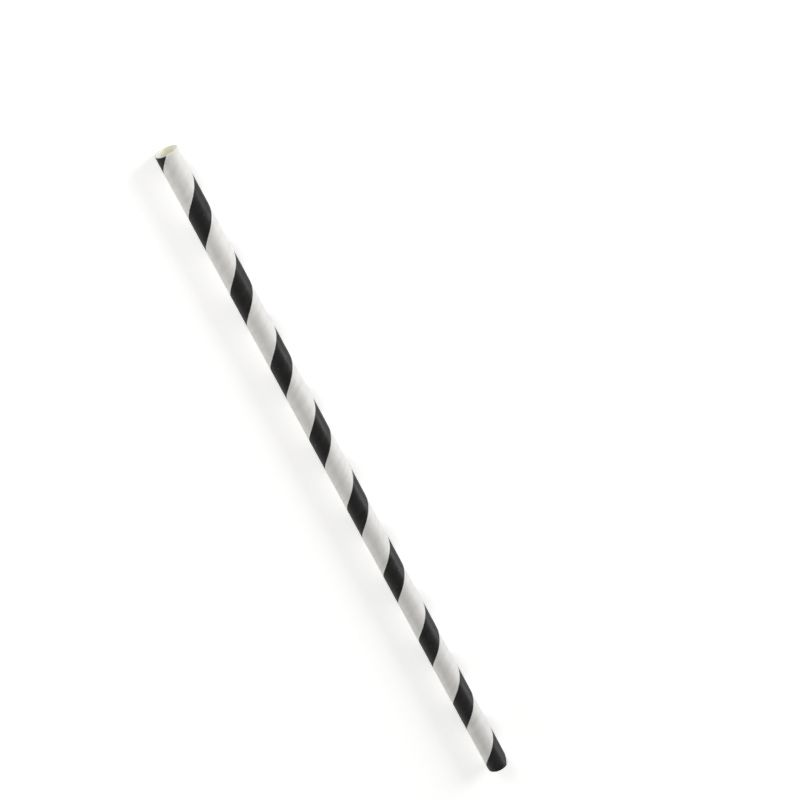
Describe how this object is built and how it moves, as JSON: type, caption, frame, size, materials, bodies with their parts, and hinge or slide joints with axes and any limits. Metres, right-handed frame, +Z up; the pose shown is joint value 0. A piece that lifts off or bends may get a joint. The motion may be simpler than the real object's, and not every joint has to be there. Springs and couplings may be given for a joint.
{
  "type": "drinking straw",
  "caption": "Straight paper drinking straw, a thin tube open at both ends, white with a black stripe that winds round it from end to end.",
  "frame": {"origin": "on the surface the straw lies on, below the middle of its length", "axes": "+X along the straw towards the open end that is shown, +Z up"},
  "size_m": [0.197, 0.006, 0.006],
  "materials": {
    "white_paper": "satin",
    "black_print": "satin"
  },
  "bodies": {
    "root": {"paper_tube": "white_paper", "black_stripe": "black_print"}
  },
  "joints": []
}
